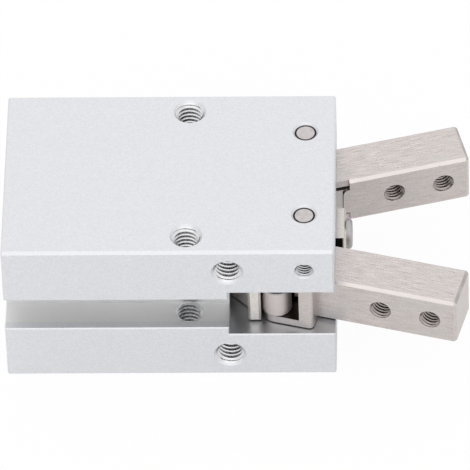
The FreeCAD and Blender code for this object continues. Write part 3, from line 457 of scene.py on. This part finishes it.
def thread_radius(turns, major, minor):
    """Wall radius of an internal thread, some turns from the middle of a ridge."""
    offset = abs((turns + 0.5) % 1 - 0.5)
    rise = (ROOT_EDGE - offset) / (ROOT_EDGE - CREST_EDGE)
    return major - (major - minor) * min(max(rise, 0), 1)


def tap(mesh, hole, sizes):
    """Adds the threaded wall of one hole to a mesh, as a closed sleeve inside the drilled wall."""
    pitch = PITCHES[round(hole.radius / MM, 3)] * MM
    minor = hole.radius - THREAD_HEIGHT * pitch
    root = hole.radius - sizes.root_clearance
    sink, far_sink = hole.radius + hole.sink, hole.radius + hole.far_sink
    start, end = hole.sink, hole.depth - hole.far_sink
    side = hole.inward.orthogonal().normalized()
    up = hole.inward.cross(side)
    rows = [turn + station
            for turn in range(math.floor(start / pitch) - 2, math.ceil(end / pitch) + 2)
            for station in RIDGE_STATIONS]

    def at(angle, along, radius):
        spoke = side * math.cos(angle) + up * math.sin(angle)
        return mesh.verts.new(hole.mouth + hole.inward * along + spoke * radius)

    def cut(angle, along):
        radius = thread_radius(along / pitch - angle / math.tau, root, minor)
        if hole.blind:
            whole = (hole.depth - along) / pitch - TAP_LEAD
            radius = minor + (radius - minor) * min(max(whole, 0), 1)
        if hole.sink:
            radius = max(radius, sink - along)
        if hole.far_sink:
            radius = max(radius, far_sink - (hole.depth - along))
        return at(angle, along, radius)

    columns, outer = [], []
    for step in range(sizes.thread_segments + 1):
        share = step / sizes.thread_segments
        angle = math.tau * share
        columns.append([cut(angle, min(max((row + share) * pitch, start), end)) for row in rows])
        outer.append([at(angle, along, hole.radius + sizes.wall_overlap) for along in (start, end)])
    for step in range(sizes.thread_segments):
        here, there = columns[step], columns[step + 1]
        for row in range(len(rows) - 1):
            mesh.faces.new((here[row], there[row], there[row + 1], here[row + 1]))
        back, next_back = outer[step], outer[step + 1]
        mesh.faces.new((back[0], next_back[0], next_back[1], back[1]))
        mesh.faces.new((here[0], there[0], next_back[0], back[0]))
        mesh.faces.new((here[-1], there[-1], next_back[1], back[1]))


def thread_piece(name, holes, sizes, body, material):
    """One piece with the threads of several holes of the same body."""
    mesh = bmesh.new()
    for hole in holes:
        tap(mesh, hole, sizes)
    bmesh.ops.remove_doubles(mesh, verts=mesh.verts, dist=SAME_POINT)
    bmesh.ops.recalc_face_normals(mesh, faces=mesh.faces)
    for face in mesh.faces:
        face.smooth = True
    for edge in mesh.edges:
        edge.smooth = edge.is_manifold and edge.calc_face_angle() < THREAD_CREASE
    data = bpy.data.meshes.new(name)
    mesh.to_mesh(data)
    mesh.free()
    data.materials.append(material)
    piece = bpy.data.objects.new(name, data)
    bpy.context.scene.collection.objects.link(piece)
    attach(piece, body)
    return piece


def mount(name):
    """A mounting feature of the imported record."""
    return next(m for m in frame["record"]["mounts"] if m["name"] == name)


def on_face(name, sizes):
    """A tapped blind hole of the body that opens on one of its faces."""
    feature = mount(name)
    outward = Vector(feature["axis"])
    position = Vector(feature["pos_m"])
    low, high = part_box("body")
    reach = max(low.dot(outward), high.dot(outward))
    mouth = position + outward * (reach - position.dot(outward))
    return Hole(mouth, -outward, feature["dims"]["r_mm"] * MM,
                feature["dims"]["length_mm"] * MM + sizes.body_sink, sizes.body_sink, 0, True)


class GRIPPER_OT_body(bpy.types.Operator):
    """Finishes the body"""

    bl_idname = "gripper.body"
    bl_label = "Body"

    def execute(self, context):
        scene = context.scene
        dress(["body"], body_aluminium(scene.gripper_sizes, scene.gripper_colours))
        return {"FINISHED"}


class GRIPPER_OT_rear_closure(bpy.types.Operator):
    """Finishes the end cap and its ring"""

    bl_idname = "gripper.rear_closure"
    bl_label = "Rear closure"

    def execute(self, context):
        sizes, colours = context.scene.gripper_sizes, context.scene.gripper_colours
        # A lathe leaves fine rings on the pale cap.
        dress(["end_cap"], worked(
            "anodised aluminium, turned", colours.cap, "turned", sizes.turning_feed, rough=0.34,
            relief=0.0016 * MM))
        # Phosphate is a dull dark grey with a crystalline speckle.
        dress(["retaining_ring"], worked(
            "spring steel, phosphated", colours.spring, "even", sizes.sinter_grain, rough=0.55,
            tone=0.25, relief=0.0016 * MM))
        return {"FINISHED"}


class GRIPPER_OT_rubber(bpy.types.Operator):
    """Finishes the seals, O-rings, bumpers, magnet and wear ring"""

    bl_idname = "gripper.rubber"
    bl_label = "Seals and bumpers"

    def execute(self, context):
        sizes, colours = context.scene.gripper_sizes, context.scene.gripper_colours
        # Nitrile is near black, with a soft sheen from the polished mould.
        dress(["cap_oring", "rod_seal", "piston_seal", "rod_oring"], worked(
            "nitrile rubber, moulded", colours.seal, "even", sizes.rubber_grain, rough=0.42,
            tone=0.25, relief=0.0012 * MM, **RUBBER))
        # Urethane bumpers are a little paler and duller.
        dress(["rear_bumper", "front_bumper"], worked(
            "urethane rubber, moulded", colours.bumper, "even", sizes.rubber_grain, rough=0.55,
            tone=0.25, relief=0.002 * MM, **RUBBER))
        # The magnet's powder gives a brownish speckle.
        dress(["magnet_ring"], worked(
            "ferrite-filled rubber, moulded", colours.magnet, "even", sizes.rubber_grain,
            rough=0.62, tone=0.25, relief=0.0024 * MM, **RUBBER))
        # Filled plastic tape is brown and waxy.
        dress(["wear_ring"], worked(
            "filled PTFE, cut from tape", colours.wear, "even", sizes.rubber_grain, rough=0.5,
            tone=0.25, relief=0.0016 * MM, **RUBBER))
        return {"FINISHED"}


class GRIPPER_OT_piston(bpy.types.Operator):
    """Finishes the piston, its rod, its nut and the parts that guide the rod"""

    bl_idname = "gripper.piston"
    bl_label = "Piston and rod"

    def execute(self, context):
        sizes, colours = context.scene.gripper_sizes, context.scene.gripper_colours
        # A lathe leaves rings on the plain aluminium piston and washer.
        dress(["piston", "seal_retainer"], worked(
            "aluminium, turned", colours.piston, "turned", sizes.turning_feed, rough=0.3,
            relief=0.0016 * MM))
        # Hard chrome is polished round the rod.
        dress(["piston_rod"], worked(
            "steel, hard chromed", colours.rod, "turned", sizes.turning_feed, rough=0.12,
            tone=0.05))
        # Zinc is pale, with a faint mottle.
        dress(["piston_nut"], worked(
            "steel, zinc plated", colours.nut, "even", sizes.sinter_grain, rough=0.34, tone=0.1))
        # Sintered bronze is matt and speckled with pores that hold oil.
        dress(["rod_bush", "near_pivot_bushes", "far_pivot_bushes"], worked(
            "bronze, sintered", colours.bronze, "even", sizes.sinter_grain, rough=0.45, tone=0.2,
            relief=0.0024 * MM))
        return {"FINISHED"}


class GRIPPER_OT_pusher(bpy.types.Operator):
    """Finishes the centre pusher and its screw"""

    bl_idname = "gripper.pusher"
    bl_label = "Centre pusher"

    def execute(self, context):
        sizes, colours = context.scene.gripper_sizes, context.scene.gripper_colours
        # Sintered steel is pale and speckled, with slightly uneven faces. The flanks of its neck
        # are painted black as the shade between the neck and the fingers.
        side, top = sizes.neck_width / 2, sizes.neck_height / 2 - FACE_EDGE
        # Ranges of the painted shade on the neck's flanks.
        flanks = {"X": (0, sizes.painted_shade_front), "Y": (side - FACE_EDGE, side + FACE_EDGE),
                  "Z": (-top, top)}
        dress(["centre_pusher"], worked(
            "steel, sintered and tumbled", colours.pusher, "even", sizes.sinter_grain, rough=0.4,
            tone=0.12, relief=0.005 * MM, patch=("Object", flanks, colours.painted_flank_shade)))
        # A tumbled screw is a plain dull grey.
        dress(["pusher_screw"], worked(
            "steel, turned and tumbled", colours.screw, "even", sizes.sinter_grain, rough=0.5,
            tone=0.1))
        return {"FINISHED"}


class GRIPPER_OT_fingers(bpy.types.Operator):
    """Finishes the fingers"""

    bl_idname = "gripper.fingers"
    bl_label = "Fingers"

    def execute(self, context):
        scene = context.scene
        dress(["near_finger", "far_finger"],
              finger_stainless(scene.gripper_sizes, scene.gripper_colours))
        return {"FINISHED"}


class GRIPPER_OT_pins(bpy.types.Operator):
    """Finishes the pivot pins, roller pins, rollers and screws"""

    bl_idname = "gripper.pins"
    bl_label = "Pins, rollers and screws"

    def execute(self, context):
        sizes, colours = context.scene.gripper_sizes, context.scene.gripper_colours
        # A pin is ground round and its ends are tumbled: plain grey with a slight mottle. The
        # chamfered rim, which faces half upwards, is painted dark as the shade of the gap round it.
        dress(["near_upper_pin", "near_lower_pin", "far_upper_pin", "far_lower_pin",
               "near_roller_pin", "far_roller_pin"], worked(
            "steel, ground and tumbled", colours.pin, "even", sizes.pin_mottle, rough=0.34,
            tone=0.14, relief=0.003 * MM, patch=("Normal", {"Z": CHAMFER_RISE}, colours.painted_shade_pin_rim)))
        # A ground roller shows the window as a broad soft band, with faint rings.
        dress(["near_roller", "far_roller"], worked(
            "bearing steel, ground", colours.roller, "round", sizes.turning_feed, rough=0.6,
            stretch=20, tone=0.05))
        # Black oxide is dark and oily.
        dress(["near_set_screw", "far_set_screw"], worked(
            "steel, black oxide", colours.black, "even", sizes.sinter_grain, rough=0.4, tone=0.15))
        return {"FINISHED"}


class GRIPPER_OT_body_threads(bpy.types.Operator):
    """Taps the bolt holes, ports and locking holes of the body"""

    bl_idname = "gripper.body_threads"
    bl_label = "Body threads"

    def execute(self, context):
        sizes, colours = context.scene.gripper_sizes, context.scene.gripper_colours
        # A tap leaves bright flanks.
        cut_wall = worked(
            "aluminium, tapped", colours.tapped, "even", sizes.sinter_grain, rough=0.26, tone=0.06)
        low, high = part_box("body")
        holes = [on_face(f"{side}_{level}_side_thread", sizes)
                 for side in ("near", "far") for level in ("upper", "lower")]

        rear = mount("rear_bolts")["dims"]
        for across in (-rear["spacing_x_mm"] / 2, rear["spacing_x_mm"] / 2):
            for level in (-rear["spacing_y_mm"] / 2, rear["spacing_y_mm"] / 2):
                holes.append(Hole(
                    Vector((low.x, across * MM, level * MM)), Vector((1, 0, 0)),
                    rear["hole_r_mm"] * MM, sizes.rear_depth, sizes.body_sink, 0, True))

        # The far hole runs straight through. The near one is parted by the switch groove.
        top = mount("top_bolts")
        radius, across = top["dims"]["hole_r_mm"] * MM, top["dims"]["spacing_y_mm"] / 2 * MM
        place, down = top["pos_m"][0], Vector((0, 0, -1))
        holes.append(Hole(Vector((place, across, high.z)), down, radius, high.z - low.z,
                          sizes.body_sink, sizes.body_sink, False))
        groove = sizes.groove_height / 2
        holes.append(Hole(Vector((place, -across, high.z)), down, radius, high.z - groove,
                          sizes.body_sink, 0, False))
        holes.append(Hole(Vector((place, -across, -groove)), down, radius, -groove - low.z,
                          0, sizes.body_sink, False))
        thread_piece("bolt_threads", holes, sizes, "housing", cut_wall)

        ports = [on_face(name, sizes) for name in ("rear_port", "front_port")]
        thread_piece("port_threads", ports, sizes, "housing", cut_wall)

        locks = []
        for name, face in (("near_set_screw", low.y), ("far_set_screw", high.y)):
            screw_low, screw_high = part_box(name)
            middle = (screw_low + screw_high) / 2
            inward = Vector((0, -math.copysign(1, face), 0))
            depth = min(abs(face - screw_low.y), abs(face - screw_high.y))
            locks.append(Hole(Vector((middle.x, face, middle.z)), inward, sizes.lock_radius, depth,
                              sizes.lock_sink, 0, False))
        # The threads of the locking holes are a darker grey.
        lock_wall = worked(
            "aluminium, tapped, darker grey", colours.lock_grey, "even", sizes.sinter_grain, rough=0.26,
            tone=0.06)
        thread_piece("lock_threads", locks, sizes, "housing", lock_wall)
        return {"FINISHED"}


class GRIPPER_OT_finger_threads(bpy.types.Operator):
    """Taps the jaw holes of the fingers"""

    bl_idname = "gripper.finger_threads"
    bl_label = "Finger threads"

    def execute(self, context):
        sizes, colours = context.scene.gripper_sizes, context.scene.gripper_colours
        # A tap leaves bright flanks with a warm tone.
        cut_wall = worked(
            "stainless steel, tapped", colours.finger_tapped, "even", sizes.sinter_grain,
            rough=0.26, tone=0.06)
        for side in ("near", "far"):
            holes = []
            for place in ("inner", "tip"):
                feature = mount(f"{side}_{place}_thread")
                outward = Vector(feature["axis"]).normalized()
                depth = feature["dims"]["length_mm"] * MM + 2 * sizes.finger_sink
                holes.append(Hole(
                    Vector(feature["pos_m"]) + outward * depth / 2, -outward,
                    feature["dims"]["r_mm"] * MM, depth, sizes.finger_sink, sizes.finger_sink,
                    False))
            thread_piece(f"{side}_finger_threads", holes, sizes, f"{side}_finger_group",
                         cut_wall)
        return {"FINISHED"}


def seen(tree, reflected=1):
    """Share of plain background that a ray shows: all in the picture, less in metal and glass."""
    rays = add(tree, "ShaderNodeLightPath").node.outputs
    bent = add(tree, "ShaderNodeMath",
               {"Value": rays["Is Glossy Ray"], "Value_001": rays["Is Transmission Ray"]},
               operation="MAXIMUM")
    weak = add(tree, "ShaderNodeMath", {"Value": bent, "Value_001": reflected},
               operation="MULTIPLY")
    return add(tree, "ShaderNodeMath", {"Value": rays["Is Camera Ray"], "Value_001": weak},
               operation="MAXIMUM")


def softbox(name, power, size, direction, stage):
    """A square soft lamp that faces the gripper."""
    data = bpy.data.lights.new(name, "AREA")
    data.energy = power
    data.size = size
    lamp = bpy.data.objects.new(name, data)
    lamp.location = Vector(stage.aim) + direction.normalized() * stage.lamp_distance
    lamp.rotation_euler = direction.to_track_quat("Z", "Y").to_euler()
    bpy.context.scene.collection.objects.link(lamp)


class GRIPPER_OT_stage(bpy.types.Operator):
    """Sets up the floor, the light and the camera"""

    bl_idname = "gripper.stage"
    bl_label = "Stage"

    def execute(self, context):
        scene = context.scene
        stage, colours = scene.gripper_stage, scene.gripper_colours
        scene.view_settings.view_transform = "Standard"

        # White paper: nearly plain white in the picture, and metal shows more of the gripper's
        # shadow on it. It is clear from below, so that the underside can be looked at.
        material, tree = new_material("white paper, matt")
        glow = add(tree, "ShaderNodeMath",
                   {"Value": seen(tree, stage.floor_reflected), "Value_001": stage.floor_glow},
                   operation="MULTIPLY")
        paper = add(tree, "ShaderNodeBsdfDiffuse", {"Color": rgba(colours.floor)})
        white = add(tree, "ShaderNodeEmission", {"Color": rgba(colours.floor), "Strength": 1})
        above = add(tree, "ShaderNodeMixShader",
                    {"Fac": glow, "Shader": paper, "Shader_001": white})
        below = add(tree, "ShaderNodeNewGeometry", output="Backfacing")
        through = add(tree, "ShaderNodeBsdfTransparent")
        both = add(tree, "ShaderNodeMixShader",
                   {"Fac": below, "Shader": above, "Shader_001": through})
        add(tree, "ShaderNodeOutputMaterial", {"Surface": both})
        mesh = bmesh.new()
        bmesh.ops.create_grid(mesh, x_segments=4, y_segments=4, size=stage.floor_width / 2)
        data = bpy.data.meshes.new("floor")
        mesh.to_mesh(data)
        mesh.free()
        data.materials.append(material)
        floor = bpy.data.objects.new("floor", data)
        floor.location = (0, 0, CAD_BOX[0][2] - stage.floor_gap)
        scene.collection.objects.link(floor)

        world = bpy.data.worlds.new("studio")
        world.use_nodes = True
        tree = world.node_tree
        tree.nodes.clear()
        strength = add(tree, "ShaderNodeMapRange",
                       {"Value": seen(tree), "To Min": stage.sky, "To Max": 1}, "Result")
        around = add(tree, "ShaderNodeBackground",
                     {"Color": (1, 1, 1, 1), "Strength": strength})
        add(tree, "ShaderNodeOutputWorld", {"Surface": around})
        scene.world = world

        back = Vector((math.sin(stage.azimuth) * math.cos(stage.elevation),
                       -math.cos(stage.azimuth) * math.cos(stage.elevation),
                       math.sin(stage.elevation)))
        right = Vector((0, 0, 1)).cross(back).normalized()
        axes = Matrix((right, back.cross(right), back)).transposed().to_4x4()
        lens = bpy.data.cameras.new("camera")
        lens.sensor_width = SENSOR_WIDTH
        lens.lens = stage.focal_pixels * SENSOR_WIDTH / IMAGE_WIDTH
        camera = bpy.data.objects.new("camera", lens)
        camera.matrix_world = (Matrix.Translation(Vector(stage.aim) + back * stage.distance)
                               @ Matrix.Rotation(stage.roll, 4, back) @ axes)
        scene.collection.objects.link(camera)
        scene.camera = camera

        softbox("key", stage.key_power, stage.key_size, back, stage)
        softbox("back", stage.back_power, stage.back_size, BACK_LAMP, stage)
        return {"FINISHED"}


OPERATORS = (
    GRIPPER_OT_body, GRIPPER_OT_rear_closure, GRIPPER_OT_rubber, GRIPPER_OT_piston,
    GRIPPER_OT_pusher, GRIPPER_OT_fingers, GRIPPER_OT_pins, GRIPPER_OT_body_threads,
    GRIPPER_OT_finger_threads, GRIPPER_OT_stage)


class GRIPPER_PT_panel(bpy.types.Panel):
    """Lists the steps that dress the gripper"""

    bl_idname = "GRIPPER_PT_panel"
    bl_label = "Gripper"
    bl_space_type = "VIEW_3D"
    bl_region_type = "UI"
    bl_category = "Gripper"

    def draw(self, context):
        for operator in OPERATORS:
            self.layout.operator(operator.bl_idname)


GROUPS = {"gripper_sizes": GripperSizes, "gripper_colours": GripperColours,
          "gripper_stage": GripperStage}
CLASSES = (*GROUPS.values(), *OPERATORS, GRIPPER_PT_panel)


def register():
    """Adds the classes and their properties to Blender."""
    for cls in CLASSES:
        bpy.utils.register_class(cls)
    for name, cls in GROUPS.items():
        setattr(bpy.types.Scene, name, PointerProperty(type=cls))


def unregister():
    """Takes the classes and their properties out of Blender."""
    for name in GROUPS:
        delattr(bpy.types.Scene, name)
    for cls in reversed(CLASSES):
        bpy.utils.unregister_class(cls)


def main():
    """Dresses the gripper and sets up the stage."""
    register()
    bpy.ops.gripper.body()
    bpy.ops.gripper.rear_closure()
    bpy.ops.gripper.rubber()
    bpy.ops.gripper.piston()
    bpy.ops.gripper.pusher()
    bpy.ops.gripper.fingers()
    bpy.ops.gripper.pins()
    bpy.ops.gripper.body_threads()
    bpy.ops.gripper.finger_threads()
    bpy.ops.gripper.stage()


if __name__ == "__main__":
    main()
